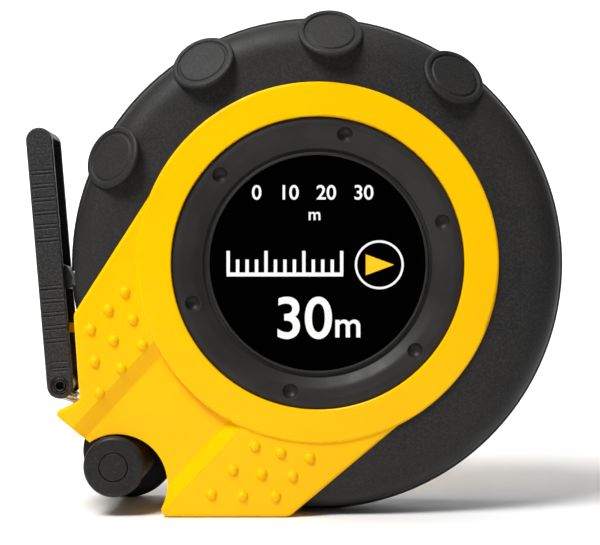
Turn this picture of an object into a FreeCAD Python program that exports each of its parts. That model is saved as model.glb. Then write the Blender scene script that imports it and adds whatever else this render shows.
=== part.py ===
import FreeCAD, Part
import math
import os

# Closed-case long tape measure: a coiled steel tape on a reel inside a two-shell case, with a pull
# hook folded against the left side and a fold-out winding crank stowed on the rear face.
#
# Millimetres. Modelled about the reel axis: X to the right, Z up, front face towards -Y, and the
# two case halves meet at Y = 0. write_parts moves everything so that the origin is the bottom
# centre of the whole object.

V = FreeCAD.Vector
Y_AXIS = V(0, 1, 0)

# ---- case ----------------------------------------------------------------------------------
RING_FACE = 20.0            # Y distance of the raised yellow ring's face
BLOCK_FACE = 19.3           # Y distance of the mouth block's stud panels
RUBBER_FACE = 18.9          # Y distance of the rubber face
WEB_OUT = 16.8              # outer face of the shell's web
WEB_IN = 14.4               # inner face of the shell's web
RING_IN_R = 47.2            # opening in the front shell, the reel's front bearing
RING_OUT_R = 58.3
SHELL_R = 78.8
CAVITY_R = 76.0
RUBBER_R = 80.0
SHOULDER_R = 10.5          # rounding from the rubber face to its side
SHELL_CORNER_R = 8.3
BAND_R = 82.0               # raised rubber band round the middle
BAND_HALF = 2.6
BAND_GROOVE = 0.9           # width of the groove on each side of the band
GROOVE_R = 79.3             # bottom of that groove
FOOT_Z = -81.8

# ---- crank notch and trough in the mouth block -------------------------------------------------
NOTCH_X, NOTCH_Z, NOTCH_R = -64.7, -71.5, 16.2
TROUGH_ANGLE = 227.0
TROUGH_EDGES = (-18.1, -13.7, 16.4, 21.5)   # across the trough: top, floor, floor, top
TROUGH_DEPTH = 2.0

# ---- studs (upper-left panel, then lower-right panel) -------------------------------------------
STUD_R = 1.8
STUD_HEIGHT = 1.35
STUDS = (
    (-62.0, -9.4), (-67.3, -15.2), (-59.5, -18.2),
    (-73.0, -21.4), (-65.7, -25.0), (-56.4, -26.4),
    (-71.8, -31.8), (-63.2, -34.0), (-70.2, -41.8),
    (-20.2, -59.0), (-11.9, -61.1), (-2.6, -62.7),
    (-27.3, -66.7), (-18.0, -67.9), (-8.1, -68.6),
    (-34.2, -74.4), (-24.2, -75.0), (-13.6, -75.0),
)

# ---- grip pads ---------------------------------------------------------------------------------
PAD_R = 10.5
PAD_CENTRE_R = 74.9
PAD_CENTRE_Y = 17.9
PAD_TILT = 38.0             # the pads face this much outwards from the front
PAD_ANGLES = (53.8, 86.8, 119.8, 152.8)

# ---- screws ------------------------------------------------------------------------------------
SCREW_R = 1.5
SCREW_HEAD_R = 2.8
BOSS_R = 3.5
BOSS_CIRCLE_R = 73.0
BOSS_ANGLES = (-32.0, 20.0, 70.0, 103.0, 136.0)
SCREW_SEAT_Y = 13.0         # the heads sit here, in wells from the rear
BLOCK_SCREWS = ((-74.0, -27.0), (-29.2, -73.4))

# ---- reel and tape -----------------------------------------------------------------------------
TAPE_WIDTH = 13.0
TAPE_THICK = 0.5
COIL_IN_R = 25.6
DRUM_IN_R = 23.0
HUB_OUT_R = 11.0            # the reel's hub
HUB_IN_R = 8.0
CLUTCH_IN_R, CLUTCH_OUT_R = 10.0, 14.0   # teeth between crank axle and reel
COIL_OUT_R = 63.8
FLANGE_R = 68.0
FLANGE_IN = 7.0             # inner face of each flange
FLANGE_THICK = 1.2
FINGER_R = 47.12            # runs in the front shell's opening
LABEL_R = 35.0
LABEL_Y = 15.6               # Y distance of the label's face
BEZEL_R = 37.1               # where the label's lip meets the finger ring
DIMPLE_R = 2.7
DIMPLE_CENTRE_Y = 19.4
DIMPLE_CIRCLE_R = 42.05
AXLE_R = 6.0
BUSH_R = 8.5                # outside of the axle's bush in the rear shell
BUSH_Y0 = 13.4              # inner end of that bush

# ---- tape line: from the coil's lower left, out through the mouth --------------------------------
TAPE_ANGLE = 165.0          # direction the tape is pulled
MOUTH_X, MOUTH_Z = -84.8, -43.9
MOUTH_DEPTH = 32.0          # length of the slot that the tape leaves through
TAPE_TANGENT = 70.55        # from the mouth point back to where the tape leaves the coil

# ---- pull hook -----------------------------------------------------------------------------------
PIVOT_X, PIVOT_Z = -84.8, -40.4
HOOK_LEAN = 4.9             # degrees left of upright
HOOK_HALF = 4.3             # half width, seen from the front
HOOK_LENGTH = 81.1          # pivot to the centre of the top round
HOOK_Y = 9.0                # half depth
HOOK_WALL = 1.8
RIVET_R = 1.85
RIVET_RECESS = 0.9          # depth of the round recess for the rivet's head
RIB_HEIGHTS = tuple(70.9 - 4.46 * i for i in range(6)) + tuple(32.8 - 4.36 * i for i in range(5))
LOW_RIBS = (7.6, 5.6, 4.6)

# ---- crank -----------------------------------------------------------------------------------
CRANK_ANGLE = 225.0
KNOB_OFFSET = 92.9          # reel axis to knob axis
HINGE_OFFSET = 20.0         # reel axis to fold hinge
HINGE_Y = 25.2
ARM_Y0, ARM_Y1 = 20.6, 25.0
ARM_HALF = 16.3
ARM_ROOT_HALF = 7.7
HUB_R = 15.0
HUB_Y0, HUB_Y1 = 17.6, 24.0
EAR_IN, EAR_OUT = 8.0, 13.0
EAR_R = 3.6
PIN_R = 1.75
KNOB_R = 9.9
KNOB_Y0, KNOB_Y1 = -20.0, 19.6
SPINDLE_R = 3.0
CAP_R = 4.8                 # hole for the cap in the knob's end

GLUE = 0.04                 # layer between the shells and the rubber on them
FIT = 0.05                  # radial running clearance
OVER = 1.0                  # how far a cutter reaches past what it cuts


# ---- helpers -------------------------------------------------------------------------------------

def cylinder(radius, y0, y1, x=0.0, z=0.0):
    return Part.makeCylinder(radius, y1 - y0, V(x, y0, z), Y_AXIS)


def tube(outer, inner, y0, y1, x=0.0, z=0.0):
    return cylinder(outer, y0, y1, x, z).cut(cylinder(inner, y0 - OVER, y1 + OVER, x, z))


def rounded_face(points, place):
    """Closed face through (a, b, radius) corners; place turns (a, b) into a 3-D point."""
    corners = []
    for i, (a, b, radius) in enumerate(points):
        here = V(a, b, 0)
        before = V(points[i - 1][0], points[i - 1][1], 0)
        after = V(points[(i + 1) % len(points)][0], points[(i + 1) % len(points)][1], 0)
        if radius == 0:
            corners.append((here, here, here))
            continue
        to_before = (before - here).normalize()
        to_after = (after - here).normalize()
        half = to_before.getAngle(to_after) / 2
        reach = radius / math.tan(half)
        centre = here + (to_before + to_after).normalize() * (radius / math.sin(half))
        middle = centre + (here - centre).normalize() * radius
        corners.append((here + to_before * reach, middle, here + to_after * reach))
    edges = []
    for i, (start, middle, end) in enumerate(corners):
        if start.distanceToPoint(end) > 1e-6:
            arc = Part.Arc(place(start.x, start.y), place(middle.x, middle.y), place(end.x, end.y))
            edges.append(arc.toShape())
        following = corners[(i + 1) % len(corners)][0]
        if end.distanceToPoint(following) > 1e-6:
            edges.append(Part.makeLine(place(end.x, end.y), place(following.x, following.y)))
    return Part.Face(Part.Wire(edges))


def lathe(points):
    """Solid of revolution about the reel axis from (radius, y, corner radius) points."""
    return rounded_face(points, lambda a, b: V(a, b, 0)).revolve(V(0, 0, 0), Y_AXIS, 360)


def plate(points, y0, y1):
    """Flat piece with an (x, z, corner radius) outline, from y0 to y1."""
    return rounded_face(points, lambda a, b: V(a, y0, b)).extrude(V(0, y1 - y0, 0))


def mirrored(shape):
    """The rear twin of a front piece."""
    return shape.mirror(V(0, 0, 0), Y_AXIS)


def along_tape(shape):
    """Put a shape drawn with +X outwards along the tape and +Z above it at the mouth."""
    turned = shape.copy()
    turned.rotate(V(0, 0, 0), Y_AXIS, 180.0 - TAPE_ANGLE)
    turned.translate(V(MOUTH_X, 0, MOUTH_Z))
    return turned


def tape_box(t0, t1, half_width, n0, n1):
    """Box by distance out along the tape (t) and height above it (n)."""
    box = Part.makeBox(t1 - t0, 2 * half_width, n1 - n0, V(-t1, -half_width, n0))
    return along_tape(box)


def along_hook(shape):
    """Put a shape drawn with its pivot at the origin and its length up +Z on the hook."""
    turned = shape.copy()
    turned.rotate(V(0, 0, 0), Y_AXIS, -HOOK_LEAN)
    turned.translate(V(PIVOT_X, 0, PIVOT_Z))
    return turned


def along_crank(shape):
    """Put a shape drawn with +X from the reel axis to the knob on the crank."""
    turned = shape.copy()
    turned.rotate(V(0, 0, 0), Y_AXIS, -CRANK_ANGLE)
    return turned


def polar(radius, degrees):
    angle = math.radians(degrees)
    return radius * math.cos(angle), radius * math.sin(angle)


def fuse(shapes):
    whole = shapes[0]
    if len(shapes) > 1:
        whole = whole.fuse(shapes[1:])
    return whole.removeSplitter()


def screw_points():
    ring = [polar(BOSS_CIRCLE_R, angle) for angle in BOSS_ANGLES]
    return ring + list(BLOCK_SCREWS)


# ---- case ----------------------------------------------------------------------------------------

def block_outline():
    return [
        (0.0, 0.0, 0),
        (-48.7, 30.7, 0),
        (-78.7, -16.6, 3.5),
        (-76.7, -44.6, 2.5),
        (-85.4, -48.3, 1.4),
        (-73.55, -58.1, 0),
        (NOTCH_X, NOTCH_Z, 0),
        (-50.4, -79.0, 0),
        (-50.4, FOOT_Z, 2.3),
        (-9.2, FOOT_Z, 4.0),
        (27.7, -51.0, 0),
    ]


def notch():
    return cylinder(NOTCH_R, -40, 40, NOTCH_X, NOTCH_Z)


def rubber_gap():
    """The wedge that the rubber leaves open for the block, with the block's two long sides."""
    outline = [
        (0.0, 0.0, 0), (-48.7, 30.7, 0), (-93.7, -40.25, 0),
        (-95.0, -97.0, 0), (-27.65, -97.2, 0), (27.7, -51.0, 0),
    ]
    return plate(outline, -30, 30)


def block_prism(face):
    """Mouth and foot block from the parting plane to its face, with the crank notch cut out."""
    block = plate(block_outline(), -face, 0).cut(notch())
    rounded = []
    for edge in block.Edges:
        box = edge.BoundBox
        on_face = abs(box.YMin + face) < 0.01 and abs(box.YMax + face) < 0.01
        touches_middle = edge.distToShape(Part.Vertex(V(0, -face, 0)))[0] < 1.0
        if on_face and not touches_middle:
            rounded.append(edge)
    return block.makeFillet(1.2, rounded)


def trough():
    """Channel across the block's face, running out to the crank notch."""
    top0, floor0, floor1, top1 = TROUGH_EDGES
    floor_y = BLOCK_FACE - TROUGH_DEPTH
    rise = 3.0
    spread = rise / TROUGH_DEPTH
    outline = [
        V(0, -floor_y, -floor0), V(0, -floor_y, -floor1),
        V(0, -floor_y - rise, -floor1 - (top1 - floor1) * spread),
        V(0, -floor_y - rise, -floor0 + (floor0 - top0) * spread),
    ]
    face = Part.Face(Part.makePolygon(outline + outline[:1]))
    channel = face.extrude(V(130, 0, 0))
    channel.rotate(V(0, 0, 0), Y_AXIS, -TROUGH_ANGLE)
    return channel


def studs():
    sphere_r = (STUD_R ** 2 + STUD_HEIGHT ** 2) / (2 * STUD_HEIGHT)
    domes = []
    for x, z in STUDS:
        ball = Part.makeSphere(sphere_r, V(x, -BLOCK_FACE - STUD_HEIGHT + sphere_r, z))
        domes.append(ball.common(cylinder(STUD_R, -BLOCK_FACE - STUD_HEIGHT, -BLOCK_FACE + 0.4, x, z)))
    return domes


def shell_half(web_in_r):
    """Front-facing shell half; web_in_r is the hole through its web."""
    dish = lathe([
        (web_in_r, -WEB_OUT, 0), (SHELL_R, -WEB_OUT, SHELL_CORNER_R), (SHELL_R, 0, 0),
        (CAVITY_R, 0, 0), (CAVITY_R, -WEB_IN, 5.0), (web_in_r, -WEB_IN, 0),
    ])
    raised = lathe([
        (RING_IN_R, -WEB_OUT + 0.5, 0), (RING_IN_R, -RING_FACE, 0.5),
        (RING_OUT_R, -RING_FACE, 0.9), (RING_OUT_R, -WEB_OUT + 0.5, 0),
    ])
    block = block_prism(BLOCK_FACE).cut(trough())
    cavity = lathe([(0, -WEB_IN, 0), (CAVITY_R, -WEB_IN, 5.0), (CAVITY_R, OVER, 0), (0, OVER, 0)])
    inside_ring = cylinder(RING_IN_R, -RING_FACE - OVER, -WEB_IN + OVER)
    block = block.cut(cavity).cut(inside_ring)
    inside = lathe([(0, -WEB_OUT, 0), (SHELL_R, -WEB_OUT, SHELL_CORNER_R), (SHELL_R, 0, 0), (0, 0, 0)])
    bosses = []
    for x, z in screw_points()[:len(BOSS_ANGLES)]:
        bosses.append(cylinder(BOSS_R, -WEB_IN - OVER, 0, x, z).common(inside))
    shell = fuse([dish, raised, block] + studs() + bosses)
    return shell.cut(tape_box(-MOUTH_DEPTH, 12, TAPE_WIDTH / 2 + 0.5, -1.0, 1.0))\
        .cut(tape_box(-8, 12, HOOK_Y - HOOK_WALL + 0.2, -1.8, 1.8))


def front_shell():
    shell = shell_half(RING_IN_R)
    for x, z in screw_points():
        shell = shell.cut(cylinder(SCREW_R, -11.0, OVER, x, z))
    return shell


def rear_shell():
    shell = mirrored(shell_half(BUSH_R))
    boss = tube(BUSH_R + 3.5, BUSH_R, BUSH_Y0, WEB_OUT)
    tab = Part.makeBox(6.2, 5.0, 3.2, V(-83.4, 0.8, -23.2))
    shell = fuse([shell, boss, tab])
    for x, z in screw_points():
        shell = shell.cut(cylinder(SCREW_R, -OVER, 30, x, z))
        shell = shell.cut(cylinder(SCREW_HEAD_R + 0.2, SCREW_SEAT_Y, 30, x, z))
    return shell


def rubber_cover(hole_points):
    """Soft cover over the front shell, open round the ring, the mouth block and any screws."""
    groove_y = BAND_HALF + BAND_GROOVE
    cover = lathe([
        (RING_OUT_R, -WEB_OUT - GLUE, 0), (RING_OUT_R, -RUBBER_FACE, 0),
        (RUBBER_R, -RUBBER_FACE + 0.5, SHOULDER_R), (RUBBER_R, -groove_y - 0.3, 0),
        (RUBBER_R - 0.3, -groove_y, 0), (GROOVE_R, -groove_y, 0), (GROOVE_R, -BAND_HALF, 0),
        (SHELL_R + GLUE, -BAND_HALF, 0), (SHELL_R + GLUE, -WEB_OUT - GLUE, SHELL_CORNER_R),
    ])
    cover = cover.cut(rubber_gap())
    for x, z in hole_points:
        cover = cover.cut(cylinder(SCREW_HEAD_R + 0.2, -30, -10.0, x, z))
    return cover


def front_rubber_cover():
    return rubber_cover([])


def rear_rubber_cover():
    return mirrored(rubber_cover(screw_points()[:len(BOSS_ANGLES)]))


def rim_band():
    """Raised rubber band on the joint line, with a pocket for the hook's claw."""
    band = lathe([
        (SHELL_R + GLUE, -BAND_HALF, 0), (BAND_R, -BAND_HALF, 0.5),
        (BAND_R, BAND_HALF, 0.5), (SHELL_R + GLUE, BAND_HALF, 0),
    ])
    pocket = Part.makeBox(8.0, 20.0, 4.8, V(-84.0, -10.0, -7.4))
    return band.cut(rubber_gap()).cut(pocket)


def case_core():
    """Everything inside the rubber's outer surface, used to seat the pads on it."""
    return lathe([
        (0, -RUBBER_FACE, 0), (RING_OUT_R, -RUBBER_FACE, 0),
        (RUBBER_R, -RUBBER_FACE + 0.5, SHOULDER_R), (RUBBER_R, 0, 0), (0, 0, 0),
    ])


def grip_pads_front():
    """Slanted round pads: rim, groove and flat middle on a skirt that runs straight back."""
    core = case_core()
    profile = [(0, 0.0), (0, 0.9), (7.5, 0.9), (7.9, 0.5), (8.5, 0.5), (8.8, 1.0),
               (9.8, 1.0), (10.2, 0.85), (PAD_R, 0.5), (PAD_R, 0.0)]
    outline = [V(r, 0, h - 1.0) for r, h in profile]
    button = Part.Face(Part.makePolygon(outline + outline[:1])).revolve(V(0, 0, 0), V(0, 0, 1), 360)
    base = Part.Face(Part.Wire(Part.makeCircle(PAD_R, V(0, 0, -1.0), V(0, 0, 1))))
    for piece in (button, base):
        piece.rotate(V(0, 0, 0), V(1, 0, 0), 90.0)
        piece.rotate(V(0, 0, 0), V(0, 0, 1), PAD_TILT)
        piece.translate(V(PAD_CENTRE_R, -PAD_CENTRE_Y, 0))
    pad = button.fuse(base.extrude(V(0, 7.5, 0))).cut(core)
    pads = []
    for angle in PAD_ANGLES:
        turned = pad.copy()
        turned.rotate(V(0, 0, 0), Y_AXIS, -angle)
        pads.append(turned)
    return Part.makeCompound(pads)


def grip_pads_rear():
    return mirrored(grip_pads_front())


def case_screws():
    screws = []
    for x, z in screw_points():
        head = cylinder(SCREW_HEAD_R, SCREW_SEAT_Y, SCREW_SEAT_Y + 2.2, x, z)
        shank = cylinder(SCREW_R, -10.0, SCREW_SEAT_Y, x, z)
        slot = Part.makeBox(1.0, 0.9, 3.6, V(x - 0.5, SCREW_SEAT_Y + 1.4, z - 1.8))
        cross = Part.makeBox(3.6, 0.9, 1.0, V(x - 1.8, SCREW_SEAT_Y + 1.4, z - 0.5))
        screws.append(fuse([head, shank]).cut(slot).cut(cross))
    return Part.makeCompound(screws)


def axle_bush():
    sleeve = tube(BUSH_R, AXLE_R + FIT, BUSH_Y0, WEB_OUT)
    collar = tube(BUSH_R + 2.0, AXLE_R + FIT, WEB_OUT, WEB_OUT + 0.5)
    return fuse([sleeve, collar])


def mouth_wipers():
    """Two felt strips that clean the tape in the mouth."""
    upper = tape_box(-11, -8.5, TAPE_WIDTH / 2, 0.4, 1.0)
    lower = tape_box(-11, -8.5, TAPE_WIDTH / 2, -1.0, -0.4)
    return Part.makeCompound([upper, lower])


# ---- reel ------------------------------------------------------------------------------------------

def reel_drum():
    """Hub, web and drum that the tape is wound on."""
    hub = tube(HUB_OUT_R, HUB_IN_R, -FLANGE_IN, FLANGE_IN)
    web = tube(DRUM_IN_R + 0.5, HUB_OUT_R - 0.5, -1.5, 1.5)
    drum = tube(COIL_IN_R - 0.1, DRUM_IN_R, -FLANGE_IN, FLANGE_IN)
    return fuse([hub, web, drum])


def reel_flange(y0):
    flange = tube(FLANGE_R, HUB_OUT_R, y0, y0 + FLANGE_THICK)
    for i in range(6):
        x, z = polar(18.0, 60.0 * i + 30.0)
        flange = flange.cut(cylinder(3.5, y0 - OVER, y0 + FLANGE_THICK + OVER, x, z))
    return flange


def reel_front_flange():
    return reel_flange(-FLANGE_IN - FLANGE_THICK)


def reel_rear_flange():
    return reel_flange(FLANGE_IN)


def finger_ring():
    """Dished ring on the reel, with dimples for turning it by a fingertip."""
    back = -FLANGE_IN - FLANGE_THICK
    ring = lathe([
        (BEZEL_R, back, 0), (BEZEL_R, -16.1, 0.3), (40.4, -18.2, 5.0), (44.9, -19.4, 4.0),
        (FINGER_R, -18.7, 0.8), (FINGER_R, back, 0),
        (45.0, back, 0), (45.0, -15.6, 1.0), (39.4, -14.2, 1.0), (39.4, back, 0),
    ])
    for i in range(6):
        x, z = polar(DIMPLE_CIRCLE_R, 18.0 + 60.0 * i)
        ring = ring.cut(Part.makeSphere(DIMPLE_R, V(x, -DIMPLE_CENTRE_Y, z)))
    return ring


def label_bezel():
    """Narrow lip that holds the label."""
    back = -FLANGE_IN - FLANGE_THICK
    return lathe([
        (33.0, back, 0), (33.0, -14.4, 0), (LABEL_R, -14.4, 0), (LABEL_R, -16.1, 0.2),
        (35.9, -16.1, 0.4), (36.2, -15.2, 0), (BEZEL_R, -15.2, 0), (BEZEL_R, back, 0),
    ])


def label_disc():
    return cylinder(LABEL_R, -LABEL_Y, -LABEL_Y + 1.2)


def tape_coil():
    return tube(COIL_OUT_R, COIL_IN_R, -TAPE_WIDTH / 2, TAPE_WIDTH / 2)


def reel_bush():
    return tube(HUB_IN_R, AXLE_R + FIT, -FLANGE_IN, FLANGE_IN)


def clutch_teeth(y0, y1, phase):
    teeth = []
    for i in range(6):
        tooth = Part.makeBox(CLUTCH_OUT_R - CLUTCH_IN_R, y1 - y0, 2.0, V(CLUTCH_IN_R, y0, -1.0))
        tooth.rotate(V(0, 0, 0), Y_AXIS, 60.0 * i + phase)
        teeth.append(tooth)
    return teeth


def clutch_ring():
    """Toothed ring on the reel's rear flange that the crank's clutch grips."""
    flange_back = FLANGE_IN + FLANGE_THICK
    ring = tube(15.0, 9.0, flange_back, flange_back + 1.2)
    return fuse([ring] + clutch_teeth(flange_back + 1.0, flange_back + 2.0, 0))


# ---- tape end and pull hook --------------------------------------------------------------------------

def tape_blade():
    """Straight run of tape from where it leaves the coil to its riveted end."""
    blade = tape_box(-TAPE_TANGENT + 1.0, 2.9, TAPE_WIDTH / 2, -TAPE_THICK / 2, TAPE_THICK / 2)
    for t, y in rivet_places():
        blade = blade.cut(rivet_shank(t, y, 3.0))
    return blade


def rivet_places():
    return [(-3.4, -4.0), (-3.4, 4.0)]


def end_bracket():
    """Folded steel end piece that clamps the tape and carries the hook's rivet."""
    half = HOOK_Y - HOOK_WALL - 0.3
    skin = TAPE_THICK / 2
    lower = tape_box(-6.0, 3.6, half, -skin - 0.8, -skin)
    upper = tape_box(-6.0, 3.6, half, skin, skin + 0.7)
    fold = tape_box(2.9, 3.6, half, -skin, skin)
    eye = cylinder(3.0, -half, half, PIVOT_X, PIVOT_Z)
    bracket = fuse([lower, upper, fold, eye])
    bracket = bracket.cut(tape_box(-20, 2.9, half + OVER, -skin, skin))
    bracket = bracket.cut(cylinder(RIVET_R, -20, 20, PIVOT_X, PIVOT_Z))
    for t, y in rivet_places():
        bracket = bracket.cut(rivet_shank(t, y, 3.0))
    return bracket


def rivet_shank(t, y, half_length):
    shank = Part.makeCylinder(1.0, 2 * half_length, V(-t, y, -half_length), V(0, 0, 1))
    return along_tape(shank)


def bracket_rivets():
    rivets = []
    skin = TAPE_THICK / 2
    for t, y in rivet_places():
        head = along_tape(Part.makeCylinder(1.5, 0.4, V(-t, y, skin + 0.7), V(0, 0, 1)))
        shank = along_tape(Part.makeCylinder(1.0, 2 * skin + 1.5, V(-t, y, -skin - 0.8), V(0, 0, 1)))
        rivets.append(fuse([head, shank]))
    return Part.makeCompound(rivets)


def hook_rivet():
    """Rivet through the hook's two sides and the bracket's eye, hollow at both ends."""
    end = HOOK_Y - 0.4
    seat = HOOK_Y - RIVET_RECESS
    shank = cylinder(RIVET_R, -end, end, PIVOT_X, PIVOT_Z)
    front = cylinder(RIVET_R + 0.55, -end, -seat, PIVOT_X, PIVOT_Z)
    rear = cylinder(RIVET_R + 0.55, seat, end, PIVOT_X, PIVOT_Z)
    rivet = fuse([shank, front, rear])
    for side in (-1, 1):
        y_low = min(side * 5.0, side * (end + OVER))
        rivet = rivet.cut(cylinder(RIVET_R - 0.35, y_low, y_low + end + OVER - 5.0, PIVOT_X, PIVOT_Z))
    return rivet


def pull_hook():
    """Long plastic hook: two sides joined along the outer edge and round the top."""
    top = HOOK_LENGTH + HOOK_HALF
    outline = [
        (-HOOK_HALF, -HOOK_HALF, HOOK_HALF - 0.01), (HOOK_HALF, -HOOK_HALF, HOOK_HALF - 0.01),
        (HOOK_HALF, top, HOOK_HALF - 0.01), (-HOOK_HALF, top, HOOK_HALF - 0.01),
    ]
    body = plate(outline, -HOOK_Y, HOOK_Y)
    rounded = [e for e in body.Edges if abs(e.BoundBox.YLength) < 0.01]
    body = body.makeFillet(0.5, rounded)
    inner_y = HOOK_Y - HOOK_WALL
    channel = Part.makeBox(3 * HOOK_HALF, 2 * inner_y, top - 3.6, V(-HOOK_HALF + 1.8, -inner_y, 0))
    foot_gap = Part.makeBox(4 * HOOK_HALF, 2 * inner_y, 16.5, V(-2 * HOOK_HALF, -inner_y, -10))
    body = body.cut(channel).cut(foot_gap)
    bore = cylinder(RIVET_R + FIT, -20, 20)
    recess_front = cylinder(3.1, -20, -HOOK_Y + RIVET_RECESS)
    recess_rear = cylinder(3.1, HOOK_Y - RIVET_RECESS, 20)
    body = body.cut(bore).cut(recess_front).cut(recess_rear)
    for height in RIB_HEIGHTS:
        body = cut_groove(body, height, -3.5, 3.7, 0.35)
        body = cut_groove(body, height - 1.2, -3.5, 3.7, 0.45)
    for height in LOW_RIBS:
        body = cut_groove(body, height, -2.6, 3.2, 0.35)
    return along_hook(body)


def cut_groove(body, height, x0, x1, depth):
    """A shallow groove across both sides of the hook."""
    width = 0.7
    front = Part.makeBox(x1 - x0, depth + OVER, width, V(x0, -HOOK_Y - OVER, height))
    rear = Part.makeBox(x1 - x0, depth + OVER, width, V(x0, HOOK_Y - depth, height))
    return body.cut(front).cut(rear)


def hook_claw():
    """Spring tongue inside the hook that snaps into the pocket in the rim band."""
    outline = [
        (-2.5, 31.0, 0), (-2.5, 40.5, 0), (1.6, 40.5, 0.5), (5.0, 39.0, 0.6),
        (6.5, 35.2, 0.9), (5.4, 31.6, 0.9), (3.6, 31.6, 0.5), (3.2, 36.5, 0.8),
        (0.2, 37.6, 0.6), (0.2, 31.0, 0),
    ]
    return along_hook(plate(outline, -4.0, 4.0))


# ---- crank -----------------------------------------------------------------------------------------

def crank_axle():
    """Steel axle: turns in the case's rear bush, and the reel turns on its inner end."""
    inner = cylinder(AXLE_R, -6.5, 17.6)
    outer = cylinder(5.0, 17.6, 22.4)
    return fuse([inner, outer]).cut(cylinder(1.5, 12.0, 30))


def clutch_dog():
    """Toothed disc on the axle; it stands clear of the reel's ring while the crank is stowed."""
    disc = tube(14.5, AXLE_R, 11.4, 12.6)
    return fuse([disc] + clutch_teeth(10.5, 11.6, 30.0))


def crank_hub():
    disc = cylinder(HUB_R, HUB_Y0, HUB_Y1)
    parts = [disc]
    for side in (-1, 1):
        y_low = min(side * EAR_IN, side * EAR_OUT)
        block = Part.makeBox(17.0, HUB_Y1 - HUB_Y0, EAR_OUT - EAR_IN, V(7.0, HUB_Y0, y_low))
        post = Part.makeBox(2 * EAR_R, HINGE_Y - HUB_Y0, EAR_OUT - EAR_IN,
                            V(HINGE_OFFSET - EAR_R, HUB_Y0, y_low))
        eye = Part.makeCylinder(EAR_R, EAR_OUT - EAR_IN, V(HINGE_OFFSET, HINGE_Y, y_low), V(0, 0, 1))
        parts += [block, post, eye]
    hub = fuse(parts)
    hub = hub.cut(Part.makeCylinder(PIN_R, 60, V(HINGE_OFFSET, HINGE_Y, -30), V(0, 0, 1)))
    hub = hub.cut(cylinder(5.0, HUB_Y0 - OVER, 22.4)).cut(cylinder(1.5, 20, 30))
    hub = hub.cut(cylinder(3.4, 22.8, 30))
    return along_crank(hub)


def hub_screw():
    head = cylinder(3.2, 22.8, 24.4)
    shank = cylinder(1.5, 13.0, 22.8)
    socket = Part.makeBox(2.2, 2.0, 2.2, V(-1.1, 23.6, -1.1))
    return along_crank(fuse([head, shank]).cut(socket))


def hinge_pin():
    pin = Part.makeCylinder(PIN_R, 2 * EAR_OUT, V(HINGE_OFFSET, HINGE_Y, -EAR_OUT), V(0, 0, 1))
    return along_crank(pin)


def crank_arm():
    """Wide flat arm with a knuckle at its root and a round end."""
    outline = [
        (HINGE_OFFSET, -ARM_ROOT_HALF, 0), (30.0, -ARM_ROOT_HALF, 2.0), (38.0, -ARM_HALF, 4.0),
        (KNOB_OFFSET, -ARM_HALF, 0), (KNOB_OFFSET, ARM_HALF, 0), (38.0, ARM_HALF, 4.0),
        (30.0, ARM_ROOT_HALF, 2.0), (HINGE_OFFSET, ARM_ROOT_HALF, 0),
    ]
    blade = plate(outline, ARM_Y0, ARM_Y1)
    end = cylinder(ARM_HALF, ARM_Y0, ARM_Y1, KNOB_OFFSET)
    knuckle = Part.makeCylinder(3.3, 2 * ARM_ROOT_HALF, V(HINGE_OFFSET, HINGE_Y, -ARM_ROOT_HALF),
                                V(0, 0, 1))
    arm = fuse([blade, end])
    rounded = []
    for edge in arm.Edges:
        if edge.BoundBox.YLength < 0.01 and edge.BoundBox.XMax > 31.0:
            rounded.append(edge)
    arm = fuse([arm.makeFillet(1.0, rounded), knuckle])
    arm = arm.cut(Part.makeCylinder(PIN_R + FIT, 60, V(HINGE_OFFSET, HINGE_Y, -30), V(0, 0, 1)))
    arm = arm.cut(cylinder(SPINDLE_R, 0, 40, KNOB_OFFSET))
    window = [
        (45.0, -9.0, 3.0), (76.0, -11.0, 3.0), (76.0, 11.0, 3.0), (45.0, 9.0, 3.0),
    ]
    arm = arm.cut(plate(window, ARM_Y1 - 1.2, ARM_Y1 + OVER))
    return along_crank(arm)


def knob_spindle():
    shank = cylinder(SPINDLE_R, -15.8, ARM_Y1, KNOB_OFFSET)
    head = cylinder(4.4, -17.2, -15.8, KNOB_OFFSET)
    tail = cylinder(4.6, ARM_Y1, ARM_Y1 + 1.0, KNOB_OFFSET)
    return along_crank(fuse([shank, head, tail]))


def knob_washer():
    return along_crank(tube(7.0, SPINDLE_R, KNOB_Y1 + 0.2, ARM_Y0, KNOB_OFFSET))


def crank_knob():
    """Turned knob, slightly waisted, free on its spindle."""
    knob = lathe([
        (0, KNOB_Y0, 0), (KNOB_R, KNOB_Y0, 1.6), (KNOB_R - 0.5, -8.0, 20.0),
        (KNOB_R - 0.1, 12.0, 20.0), (KNOB_R, KNOB_Y1, 1.2), (0, KNOB_Y1, 0),
    ])
    knob = knob.cut(cylinder(SPINDLE_R + FIT, -40, 40)).cut(cylinder(CAP_R, -40, -15.5))
    knob.translate(V(KNOB_OFFSET, 0, 0))
    return along_crank(knob)


def knob_cap():
    """Press-in cap: a groove shows round its face, and its wider foot holds in the knob."""
    cap = cylinder(CAP_R - 0.3, KNOB_Y0 + 0.1, -17.9, KNOB_OFFSET)
    rim = [e for e in cap.Edges if e.BoundBox.YMax < KNOB_Y0 + 0.2 and e.BoundBox.XLength > 1.0]
    foot = cylinder(CAP_R, -18.7, -17.9, KNOB_OFFSET)
    return along_crank(fuse([cap.makeFillet(0.3, rim), foot]))


# ---- output ----------------------------------------------------------------------------------------

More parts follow.
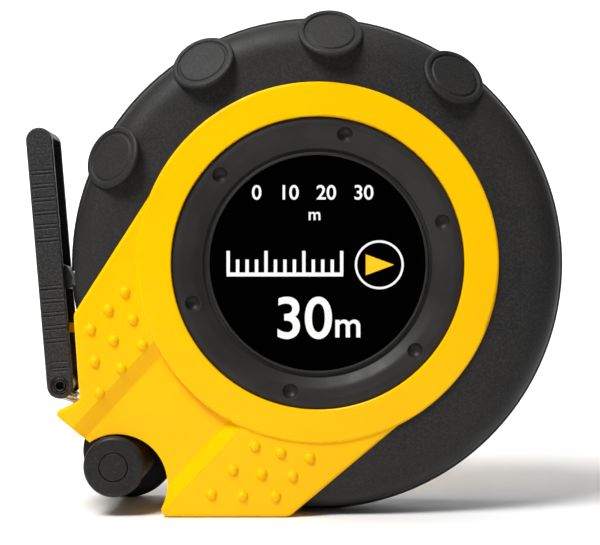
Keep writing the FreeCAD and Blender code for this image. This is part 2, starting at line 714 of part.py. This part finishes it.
NODES = {
    "front_shell": front_shell,
    "rear_shell": rear_shell,
    "front_rubber_cover": front_rubber_cover,
    "rear_rubber_cover": rear_rubber_cover,
    "rim_band": rim_band,
    "grip_pads_front": grip_pads_front,
    "grip_pads_rear": grip_pads_rear,
    "case_screws": case_screws,
    "axle_bush": axle_bush,
    "mouth_wipers": mouth_wipers,
    "reel_drum": reel_drum,
    "reel_front_flange": reel_front_flange,
    "reel_rear_flange": reel_rear_flange,
    "finger_ring": finger_ring,
    "label_bezel": label_bezel,
    "label_disc": label_disc,
    "tape_coil": tape_coil,
    "reel_bush": reel_bush,
    "clutch_ring": clutch_ring,
    "tape_blade": tape_blade,
    "end_bracket": end_bracket,
    "bracket_rivets": bracket_rivets,
    "hook_rivet": hook_rivet,
    "pull_hook": pull_hook,
    "hook_claw": hook_claw,
    "crank_axle": crank_axle,
    "clutch_dog": clutch_dog,
    "crank_hub": crank_hub,
    "hub_screw": hub_screw,
    "hinge_pin": hinge_pin,
    "crank_arm": crank_arm,
    "knob_spindle": knob_spindle,
    "knob_washer": knob_washer,
    "crank_knob": crank_knob,
    "knob_cap": knob_cap,
}


def write_parts():
    shapes = {name: make() for name, make in NODES.items()}
    box = FreeCAD.BoundBox()
    for shape in shapes.values():
        box.add(shape.optimalBoundingBox(False))
    shift = V(-box.Center.x, -box.Center.y, -box.ZMin)
    os.makedirs("parts", exist_ok=True)
    for name, shape in shapes.items():
        shape.translate(shift)
        shape.exportStep("parts/" + name + ".step")
        print(name, "solids", len(shape.Solids), "valid", shape.isValid(), "mm3", round(shape.Volume))
    print("shift", [round(value, 4) for value in (shift.x, shift.y, shift.z)])
    print("size", round(box.XLength, 2), round(box.YLength, 2), round(box.ZLength, 2))


write_parts()
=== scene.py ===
import math
import bmesh
import bpy
from mathutils import Matrix, Vector


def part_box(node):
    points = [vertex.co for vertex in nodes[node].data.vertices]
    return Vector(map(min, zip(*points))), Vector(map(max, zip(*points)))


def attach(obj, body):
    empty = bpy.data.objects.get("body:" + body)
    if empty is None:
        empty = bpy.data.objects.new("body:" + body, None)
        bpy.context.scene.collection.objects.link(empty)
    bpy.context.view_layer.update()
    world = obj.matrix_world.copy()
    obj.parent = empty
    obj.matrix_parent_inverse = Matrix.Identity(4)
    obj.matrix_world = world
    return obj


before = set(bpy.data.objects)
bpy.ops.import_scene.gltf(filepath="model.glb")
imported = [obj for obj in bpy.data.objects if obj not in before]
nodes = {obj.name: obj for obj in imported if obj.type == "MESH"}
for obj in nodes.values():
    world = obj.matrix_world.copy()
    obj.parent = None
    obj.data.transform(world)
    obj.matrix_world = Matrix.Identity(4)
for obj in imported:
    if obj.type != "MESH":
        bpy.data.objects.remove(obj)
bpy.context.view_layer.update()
MM = 0.001

# Reel axis in the frame, from the label's box: it turns about +Y.
low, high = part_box("label_disc")
AXIS_X = (low.x + high.x) / 2
AXIS_Z = (low.z + high.z) / 2
LABEL_Y = low.y

TAPE_ANGLE = math.radians(165.0)   # direction in which the tape leaves the case, about Y
TAPE_HALF_WIDTH = 6.5              # mm
TAPE_TURN = 0.36                   # mm of radius per turn on the coil
MOULD_TURN = 0.45                  # mm between the tool marks on the finger ring
KNOB_TURN = 0.55                   # mm between the rings on the knob's end

# Printed marks on the label, in mm about the reel axis.
PRINT_Y = LABEL_Y - 0.03 * MM      # back of the print, just in front of the label
PRINT_THICK = 0.05
SCALE_X0, SCALE_X1 = -29.5, 8.3
SCALE_FOOT, SCALE_LINE = -4.4, -3.1
TICK_COUNT = 13
TICK_X0, TICK_STEP, TICK_HALF = -29.0, 3.067, 0.55
TICK_LONG, TICK_SHORT = 7.0, 4.2
BADGE_X, BADGE_Z = 20.0, -0.6
BADGE_IN_R, BADGE_OUT_R = 7.2, 7.95

# Studio, in metres and watts.
FLOOR_FRONT, FLOOR_BACK = -1.6, 0.55
SWEEP_R, SWEEP_STEPS = 0.5, 12
WALL_TOP, HALF_WIDTH = 2.4, 2.2
OBJECT_MIDDLE = (0.0, 0.0, 0.08)
LIGHTS = (
    # name, at, aimed at, size, power, spread in degrees
    ("key", (-0.31, -0.42, 0.76), OBJECT_MIDDLE, (0.34, 0.34), 9.4, 180.0),
    ("fill", (0.95, -0.75, 0.35), OBJECT_MIDDLE, (0.6, 0.8), 0.4, 180.0),
    ("top", (-0.1, -0.20, 1.1), OBJECT_MIDDLE, (0.9, 0.4), 0.3, 180.0),
    ("wash", (0.0, 0.25, 1.5), (0.0, 1.0, 0.25), (2.4, 0.6), 14.0, 95.0),
)
WORLD_STRENGTH = 0.07
CAMERA_AT = (0.0013, -0.4524, 0.0789)
LENS_MM, SENSOR_MM = 80.4, 36.0


# ---- materials --------------------------------------------------------------------------------------

class Shader:
    """A Principled material built from a few pattern nodes in object coordinates (metres)."""

    def __init__(self, name, metallic=0.0, **sockets):
        self.material = bpy.data.materials.new(name)
        self.material.use_nodes = True
        self.tree = self.material.node_tree
        self.bsdf = self.tree.nodes["Principled BSDF"]
        self.bsdf.inputs["Metallic"].default_value = metallic
        for socket, value in sockets.items():
            self.bsdf.inputs[socket.replace("_", " ")].default_value = value
        self.where = self.add("ShaderNodeTexCoord").outputs["Object"]

    def add(self, kind, **settings):
        node = self.tree.nodes.new(kind)
        for key, value in settings.items():
            setattr(node, key, value)
        return node

    def put(self, value, socket):
        if isinstance(value, bpy.types.NodeSocket):
            self.tree.links.new(value, socket)
        else:
            socket.default_value = value

    def math(self, operation, a, b=0.0):
        node = self.add("ShaderNodeMath", operation=operation)
        self.put(a, node.inputs[0])
        self.put(b, node.inputs[1])
        return node.outputs[0]

    def noise(self, size_mm, detail=3.0, stretch=None):
        """Noise whose lumps are about size_mm across, 0 to 1."""
        node = self.add("ShaderNodeTexNoise")
        node.inputs["Scale"].default_value = 1.0 / (size_mm * MM)
        node.inputs["Detail"].default_value = detail
        where = self.where
        if stretch:
            mapping = self.add("ShaderNodeMapping")
            mapping.inputs["Scale"].default_value = stretch
            self.put(where, mapping.inputs["Vector"])
            where = mapping.outputs[0]
        self.put(where, node.inputs["Vector"])
        return node.outputs["Fac"]

    def spread(self, value, low, high, to_low=0.0, to_high=1.0):
        node = self.add("ShaderNodeMapRange", interpolation_type="SMOOTHSTEP")
        self.put(value, node.inputs["Value"])
        for socket, number in zip(("From Min", "From Max", "To Min", "To Max"), (low, high, to_low, to_high)):
            node.inputs[socket].default_value = number
        return node.outputs[0]

    def mix(self, factor, first, second):
        node = self.add("ShaderNodeMix", data_type="RGBA")
        self.put(factor, node.inputs[0])
        self.put(first, node.inputs[6])
        self.put(second, node.inputs[7])
        return node.outputs[2]

    def edges(self, radius_mm):
        """Rounded normal, and a mask that is 1 along sharp outer and inner edges."""
        bevel = self.add("ShaderNodeBevel", samples=4)
        bevel.inputs["Radius"].default_value = radius_mm * MM
        dot = self.add("ShaderNodeVectorMath", operation="DOT_PRODUCT")
        self.put(bevel.outputs[0], dot.inputs[0])
        self.put(self.add("ShaderNodeNewGeometry").outputs["Normal"], dot.inputs[1])
        return bevel.outputs[0], self.spread(dot.outputs["Value"], 0.995, 0.86)

    def radius(self, x, z):
        """Distance from an axis along Y through (x, z)."""
        split = self.add("ShaderNodeSeparateXYZ")
        self.put(self.where, split.inputs[0])
        dx = self.math("SUBTRACT", split.outputs[0], x)
        dz = self.math("SUBTRACT", split.outputs[2], z)
        square = self.math("ADD", self.math("MULTIPLY", dx, dx), self.math("MULTIPLY", dz, dz))
        return self.math("SQRT", square)

    def bump(self, layers, normal=None):
        """layers are (height 0 to 1, depth in mm)."""
        for height, depth in layers:
            node = self.add("ShaderNodeBump")
            node.inputs["Strength"].default_value = 1.0
            node.inputs["Distance"].default_value = depth * MM
            self.put(height, node.inputs["Height"])
            if normal is not None:
                self.put(normal, node.inputs["Normal"])
            normal = node.outputs[0]
        self.put(normal, self.bsdf.inputs["Normal"])

    def colour(self, value):
        self.put(value, self.bsdf.inputs["Base Color"])

    def rough(self, pattern, low, high):
        self.put(self.spread(pattern, 0.25, 0.75, low, high), self.bsdf.inputs["Roughness"])


def rgb(r, g, b):
    """sRGB 0 to 255 to the linear colour the shader takes."""
    def linear(v):
        v = v / 255
        return v / 12.92 if v <= 0.04045 else ((v + 0.055) / 1.055) ** 2.4
    return (linear(r), linear(g), linear(b), 1.0)


def moulded(name, main, deep, wear_highlight_colour, rough, grain_mm, grain_depth, edge_mm, **sockets):
    """Moulded plastic: slow colour drift, fine spark-eroded grain, and edges lighter in patches, partly wear
    and partly a painted highlight.
    """
    s = Shader(name, **sockets)
    normal, edge = s.edges(edge_mm)
    drift = s.spread(s.noise(38.0, 2.0), 0.3, 0.7)
    base = s.mix(drift, rgb(*main), rgb(*deep))
    # Lighter colour along edges in patches: partly wear, partly a painted edge highlight.
    wear_highlight_mask = s.math("MULTIPLY", edge, s.spread(s.noise(2.2, 4.0), 0.45, 0.7, 0.0, 0.55))
    s.colour(s.mix(wear_highlight_mask, base, rgb(*wear_highlight_colour)))
    s.rough(s.noise(9.0, 5.0), rough - 0.05, rough + 0.06)
    fine = (s.noise(grain_mm, 2.0), grain_depth)
    coarse = (s.noise(grain_mm * 7, 2.0), grain_depth * 0.8)
    s.bump([fine, coarse], normal)
    return s.material


def rubber_material():
    """Soft black cover with a fine grain and a little pale dust."""
    s = Shader("rubber", Specular_IOR_Level=0.20)
    normal, edge = s.edges(0.5)
    drift = s.spread(s.noise(30.0, 3.0), 0.3, 0.7)
    base = s.mix(drift, rgb(29, 28, 28), rgb(35, 34, 33))
    grain = s.noise(0.55, 3.0)
    base = s.mix(s.spread(grain, 0.35, 0.72, 0.0, 0.5), base, rgb(58, 57, 56))
    dust = s.spread(s.noise(0.8, 2.0), 0.74, 0.82, 0.0, 0.35)
    base = s.mix(dust, base, rgb(120, 119, 117))
    # Lighter grey along edges: a painted edge highlight.
    s.colour(s.mix(s.math("MULTIPLY", edge, 0.25), base, rgb(70, 70, 70)))
    s.rough(s.noise(7.0, 4.0), 0.48, 0.58)
    s.bump([(grain, 0.035), (s.noise(4.0, 3.0), 0.02)], normal)
    return s.material


def grained(name, dark, light, rough):
    """Black nylon with a coarse sparkling grain."""
    s = Shader(name, Specular_IOR_Level=0.4)
    normal, edge = s.edges(0.35)
    grain = s.noise(0.6, 4.0)
    base = s.mix(s.spread(grain, 0.40, 0.70, 0.0, 0.75), rgb(*dark), rgb(*light))
    # Lighter grey along edges: a painted edge highlight.
    s.colour(s.mix(s.math("MULTIPLY", edge, 0.35), base, rgb(96, 96, 96)))
    s.rough(s.noise(3.0, 4.0), rough - 0.06, rough + 0.06)
    s.bump([(grain, 0.07)], normal)
    return s.material


def finger_ring_material():
    """Glossier dark grey with faint turning from the mould's tool."""
    s = Shader("ring_plastic", Specular_IOR_Level=0.22)
    normal, edge = s.edges(0.3)
    base = s.mix(s.spread(s.noise(12.0, 3.0), 0.3, 0.7), rgb(36, 35, 34), rgb(43, 42, 41))
    scuff = s.spread(s.noise(0.7, 3.0), 0.66, 0.80, 0.0, 0.25)
    base = s.mix(scuff, base, rgb(100, 98, 95))
    # Lighter grey along edges: a painted edge highlight.
    s.colour(s.mix(s.math("MULTIPLY", edge, 0.35), base, rgb(92, 91, 90)))
    s.rough(s.noise(5.0, 4.0), 0.40, 0.50)
    turn = s.math("SINE", s.math("MULTIPLY", s.radius(AXIS_X, AXIS_Z), 2 * math.pi / (MOULD_TURN * MM)))
    s.bump([(turn, 0.0012), (s.noise(0.6, 3.0), 0.02)], normal)
    return s.material


def knob_material(x, z):
    """Dark satin with fine concentric rings on its end."""
    s = Shader("crank_plastic", Specular_IOR_Level=0.22)
    normal, edge = s.edges(0.3)
    radius = s.radius(x, z)
    base = s.mix(s.spread(s.noise(8.0, 3.0), 0.3, 0.7), rgb(27, 26, 26), rgb(33, 32, 32))
    base = s.mix(s.spread(s.noise(0.5, 3.0), 0.5, 0.75, 0.0, 0.4), base, rgb(70, 70, 69))
    # Lighter grey along edges: a painted edge highlight.
    s.colour(s.mix(s.math("MULTIPLY", edge, 0.4), base, rgb(90, 90, 90)))
    s.rough(s.noise(4.0, 4.0), 0.40, 0.50)
    turn = s.math("SINE", s.math("MULTIPLY", radius, 2 * math.pi / (KNOB_TURN * MM)))
    s.bump([(turn, 0.006), (s.noise(0.4, 2.0), 0.006)], normal)
    return s.material


def metal(name, bright, dull, rough, stretch=(1.0, 1.0, 1.0), edge_to=(246, 246, 244)):
    """Bare metal with stains, fine drawn lines and edges brightened as a painted highlight."""
    s = Shader(name, metallic=1.0)
    normal, edge = s.edges(0.2)
    stain = s.spread(s.noise(3.5, 4.0), 0.4, 0.75)
    base = s.mix(stain, rgb(*bright), rgb(*dull))
    # Brighter along edges: a painted edge highlight.
    s.colour(s.mix(s.math("MULTIPLY", edge, 0.7), base, rgb(*edge_to)))
    s.rough(s.noise(2.0, 4.0), rough - 0.06, rough + 0.10)
    s.bump([(s.noise(0.25, 2.0, stretch), 0.006)], normal)
    return s.material


def tape_material(angle, x, y, z):
    """Yellow lacquer with a millimetre scale along the tape's pull direction, tilted by angle about Y."""
    s = Shader("tape_paint", Specular_IOR_Level=0.5, Coat_Weight=0.3, Coat_Roughness=0.15)
    turn = s.add("ShaderNodeMapping", vector_type="TEXTURE")
    turn.inputs["Location"].default_value = (x, 0.0, z)
    turn.inputs["Rotation"].default_value = (0.0, -angle, 0.0)
    s.put(s.where, turn.inputs["Vector"])
    split = s.add("ShaderNodeSeparateXYZ")
    s.put(turn.outputs[0], split.inputs[0])
    along = s.math("MULTIPLY", split.outputs[0], 1000.0)
    across = s.math("MULTIPLY", s.math("SUBTRACT", split.outputs[1], y), 1000.0)
    rim = s.math("SUBTRACT", TAPE_HALF_WIDTH, s.math("ABSOLUTE", across))

    def ticks(step, width, length):
        phase = s.math("PINGPONG", along, step / 2)
        line = s.math("LESS_THAN", phase, width / 2)
        return s.math("MULTIPLY", line, s.math("LESS_THAN", rim, length))

    ink = s.math("MAXIMUM", ticks(1.0, 0.22, 2.2), ticks(5.0, 0.26, 3.2))
    ink = s.math("MAXIMUM", ink, ticks(10.0, 0.34, 7.0))
    base = s.mix(s.spread(s.noise(6.0, 3.0), 0.3, 0.7), rgb(246, 214, 60), rgb(238, 202, 48))
    base = s.mix(s.spread(s.noise(0.8, 5.0), 0.62, 0.8, 0.0, 0.4), base, rgb(200, 170, 60))
    s.colour(s.mix(ink, base, rgb(22, 22, 22)))
    s.rough(s.noise(3.0, 4.0), 0.30, 0.42)
    s.bump([(s.noise(0.5, 2.0), 0.004)])
    return s.material


def coil_material():
    """The edges of the wound tape, as thin pale rings."""
    s = Shader("tape_coil_paint", Specular_IOR_Level=0.5)
    turn = s.math("SINE", s.math("MULTIPLY", s.radius(AXIS_X, AXIS_Z), 2 * math.pi / (TAPE_TURN * MM)))
    shade = s.spread(turn, -1.0, 1.0)
    base = s.mix(shade, rgb(120, 112, 88), rgb(222, 196, 84))
    s.colour(s.mix(s.spread(s.noise(5.0, 4.0), 0.4, 0.7, 0.0, 0.4), base, rgb(150, 140, 110)))
    s.rough(s.noise(2.0, 3.0), 0.35, 0.5)
    s.bump([(turn, 0.03)])
    return s.material


def felt_material():
    """Dense grey felt."""
    s = Shader("felt", Sheen_Weight=0.5, Sheen_Roughness=0.5)
    fibre = s.noise(0.25, 5.0)
    s.colour(s.mix(s.spread(fibre, 0.3, 0.7), rgb(40, 41, 42), rgb(92, 93, 94)))
    s.rough(s.noise(1.0, 3.0), 0.85, 0.98)
    s.bump([(fibre, 0.12)])
    return s.material


def print_material(name, main, rough):
    """Screen-printed ink, slightly uneven."""
    s = Shader(name)
    thin = rgb(*[v * 0.86 for v in main])
    s.colour(s.mix(s.spread(s.noise(0.35, 4.0), 0.55, 0.8, 0.0, 0.25), rgb(*main), thin))
    s.rough(s.noise(2.0, 3.0), rough - 0.04, rough + 0.05)
    s.bump([(s.noise(0.3, 2.0), 0.003)])
    return s.material


def centre(node):
    a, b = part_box(node)
    return (a + b) / 2


knob_at = centre("crank_knob")
pivot_at = centre("hook_rivet")

yellow = moulded("yellow_abs", (254, 193, 0), (254, 188, 0), (255, 204, 8), 0.20, 0.28, 0.004, 0.5,
                 Specular_IOR_Level=0.13)
rubber = rubber_material()
ring = finger_ring_material()
hook = grained("hook_plastic", (16, 16, 16), (66, 65, 64), 0.5)
knob = knob_material(knob_at.x, knob_at.z)
arm = moulded("arm_plastic", (14, 14, 14), (20, 20, 20), (60, 60, 60), 0.48, 0.35, 0.014, 0.5,
              Specular_IOR_Level=0.2)
claw = moulded("claw_plastic", (62, 64, 65), (52, 54, 55), (120, 121, 120), 0.42, 0.3, 0.008, 0.4,
               Specular_IOR_Level=0.3)
drum = moulded("drum_plastic", (58, 60, 62), (50, 52, 54), (96, 96, 96), 0.50, 0.3, 0.010, 0.4)
label = moulded("label_black", (1, 1, 1), (2, 2, 2), (24, 24, 24), 0.42, 0.22, 0.004, 0.2,
                Specular_IOR_Level=0.0)
steel = metal("steel", (222, 223, 222), (176, 176, 174), 0.26, (1.0, 6.0, 1.0))
blacked = metal("rivet_steel", (38, 38, 39), (24, 24, 25), 0.36, edge_to=(225, 225, 222))
bronze = metal("bronze", (206, 152, 84), (160, 112, 62), 0.32)
tape = tape_material(TAPE_ANGLE, pivot_at.x, centre("tape_blade").y, pivot_at.z)
white = print_material("print_white", (240, 240, 240), 0.40)
accent = print_material("print_yellow", (255, 200, 0), 0.40)

LOOKS = {
    "front_shell": yellow, "rear_shell": yellow,
    "front_rubber_cover": rubber, "rear_rubber_cover": rubber, "rim_band": rubber,
    "grip_pads_front": rubber, "grip_pads_rear": rubber,
    "finger_ring": ring, "label_bezel": ring, "label_disc": label,
    "pull_hook": hook, "hook_claw": claw,
    "crank_knob": knob, "knob_cap": knob, "crank_arm": arm, "crank_hub": arm,
    "reel_drum": drum, "reel_front_flange": drum, "reel_rear_flange": drum, "clutch_ring": drum,
    "clutch_dog": drum, "knob_washer": claw,
    "case_screws": steel, "end_bracket": steel, "bracket_rivets": steel, "hook_rivet": blacked,
    "crank_axle": steel, "hub_screw": steel, "hinge_pin": steel, "knob_spindle": steel,
    "axle_bush": bronze, "reel_bush": bronze,
    "tape_blade": tape, "tape_coil": coil_material(), "mouth_wipers": felt_material(),
}
for name, node in nodes.items():
    for place in node.material_slots:
        place.material = LOOKS[name]


# ---- printed label ------------------------------------------------------------------------------------

def printed(name, mesh, material):
    """Puts one printed mark on the reel's body."""
    piece = bpy.data.objects.new(name, mesh)
    bpy.context.scene.collection.objects.link(piece)
    mesh.materials.append(material)
    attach(piece, "reel")
    return piece


def outlines(name, loops, material):
    """Joins flat outlines (lists of (x, z) in mm about the reel axis) into one thin printed piece."""
    mesh = bpy.data.meshes.new(name)
    build = bmesh.new()
    for loop in loops:
        corners = [(AXIS_X + x * MM, PRINT_Y, AXIS_Z + z * MM) for x, z in loop]
        build.faces.new([build.verts.new(corner) for corner in corners])
    build.normal_update()
    bmesh.ops.solidify(build, geom=build.faces[:], thickness=PRINT_THICK * MM)
    bmesh.ops.recalc_face_normals(build, faces=build.faces[:])
    build.to_mesh(mesh)
    build.free()
    return printed(name, mesh, material)


def bar(x0, x1, z0, z1):
    return [(x0, z0), (x1, z0), (x1, z1), (x0, z1)]


def ruler():
    """A plain printed scale across the label."""
    loops = [bar(SCALE_X0, SCALE_X1, SCALE_FOOT, SCALE_LINE)]
    for i in range(TICK_COUNT):
        x = TICK_X0 + i * TICK_STEP
        height = TICK_LONG if i % 4 == 0 else TICK_SHORT
        loops.append(bar(x - TICK_HALF, x + TICK_HALF, SCALE_LINE, SCALE_LINE + height))
    return loops


def circle_band(r0, r1, cx, cz, steps=48):
    """A flat ring as a row of four-sided outlines."""
    turns = [2 * math.pi * i / steps for i in range(steps + 1)]
    return [
        [(cx + r * math.cos(t), cz + r * math.sin(t)) for r, t in ((r0, a), (r1, a), (r1, b), (r0, b))]
        for a, b in zip(turns, turns[1:])
    ]


def lettering(name, text, size_mm, x, z, material):
    """Printed figures facing the front, their middle at (x, z) mm from the reel axis."""
    curve = bpy.data.curves.new(name + "_outline", "FONT")
    curve.body = text
    curve.size = size_mm * MM
    curve.align_x = "CENTER"
    curve.align_y = "CENTER"
    curve.extrude = 0.02 * MM
    curve.offset = 0.012 * size_mm * MM
    holder = bpy.data.objects.new(name + "_outline", curve)
    bpy.context.scene.collection.objects.link(holder)
    mesh = bpy.data.meshes.new_from_object(holder)
    bpy.data.objects.remove(holder)
    mesh.transform(Matrix.Rotation(math.radians(90), 4, "X"))
    mesh.transform(Matrix.Translation((AXIS_X + x * MM, PRINT_Y, AXIS_Z + z * MM)))
    mesh.name = name
    mesh.materials.clear()
    return printed(name, mesh, material)


outlines("label_scale", ruler(), white)
outlines("label_ring", circle_band(BADGE_IN_R, BADGE_OUT_R, BADGE_X, BADGE_Z), white)
outlines("label_arrow", [[(15.6, -4.0), (24.8, -0.6), (15.6, 2.8)]], accent)
for name, text, size_mm, x, z in (
    ("label_figures", "0   10   20   30", 6.6, -1.6, 22.6),
    ("label_top_unit", "m", 5.6, -1.0, 15.6),
    ("label_length", "30", 19.0, -4.5, -18.6),
    ("label_unit", "m", 12.0, 9.8, -20.4),
):
    lettering(name, text, size_mm, x, z, white)


# ---- set, light and camera ------------------------------------------------------------------------------

def backdrop():
    """Floor that curves up into a wall, as one smooth sheet."""
    profile = [(FLOOR_FRONT, 0.0), (FLOOR_BACK, 0.0)]
    for i in range(1, SWEEP_STEPS + 1):
        angle = math.radians(90 * i / SWEEP_STEPS)
        profile.append((FLOOR_BACK + SWEEP_R * math.sin(angle), SWEEP_R - SWEEP_R * math.cos(angle)))
    profile.append((FLOOR_BACK + SWEEP_R, WALL_TOP))
    mesh = bpy.data.meshes.new("backdrop")
    build = bmesh.new()
    rows = [[build.verts.new((x, y, z)) for y, z in profile] for x in (-HALF_WIDTH, HALF_WIDTH)]
    for i in range(len(profile) - 1):
        build.faces.new((rows[0][i], rows[1][i], rows[1][i + 1], rows[0][i + 1])).smooth = True
    build.to_mesh(mesh)
    build.free()
    sheet = bpy.data.objects.new("backdrop", mesh)
    bpy.context.scene.collection.objects.link(sheet)
    s = Shader("backdrop_paint")
    s.colour(s.mix(s.noise(300.0, 1.0), (0.90, 0.90, 0.90, 1.0), (0.92, 0.92, 0.92, 1.0)))
    s.rough(s.noise(60.0, 2.0), 0.85, 0.95)
    mesh.materials.append(s.material)


def area_light(name, at, aim, size, power, spread):
    data = bpy.data.lights.new(name, "AREA")
    data.shape = "RECTANGLE"
    data.size, data.size_y = size
    data.energy = power
    data.spread = math.radians(spread)
    lamp = bpy.data.objects.new(name, data)
    bpy.context.scene.collection.objects.link(lamp)
    lamp.location = at
    lamp.rotation_euler = (Vector(aim) - Vector(at)).to_track_quat("-Z", "Y").to_euler()


backdrop()
for light in LIGHTS:
    area_light(*light)

world = bpy.data.worlds.new("studio")
world.use_nodes = True
world.node_tree.nodes["Background"].inputs[0].default_value = (1.0, 1.0, 1.0, 1.0)
world.node_tree.nodes["Background"].inputs[1].default_value = WORLD_STRENGTH
bpy.context.scene.world = world

lens = bpy.data.cameras.new("camera")
lens.sensor_width = SENSOR_MM
lens.lens = LENS_MM
lens.clip_start = 0.01
camera = bpy.data.objects.new("camera", lens)
bpy.context.scene.collection.objects.link(camera)
camera.location = CAMERA_AT
camera.rotation_euler = (math.radians(90.0), 0.0, 0.0)
bpy.context.scene.camera = camera
bpy.context.scene.view_settings.view_transform = "Standard"
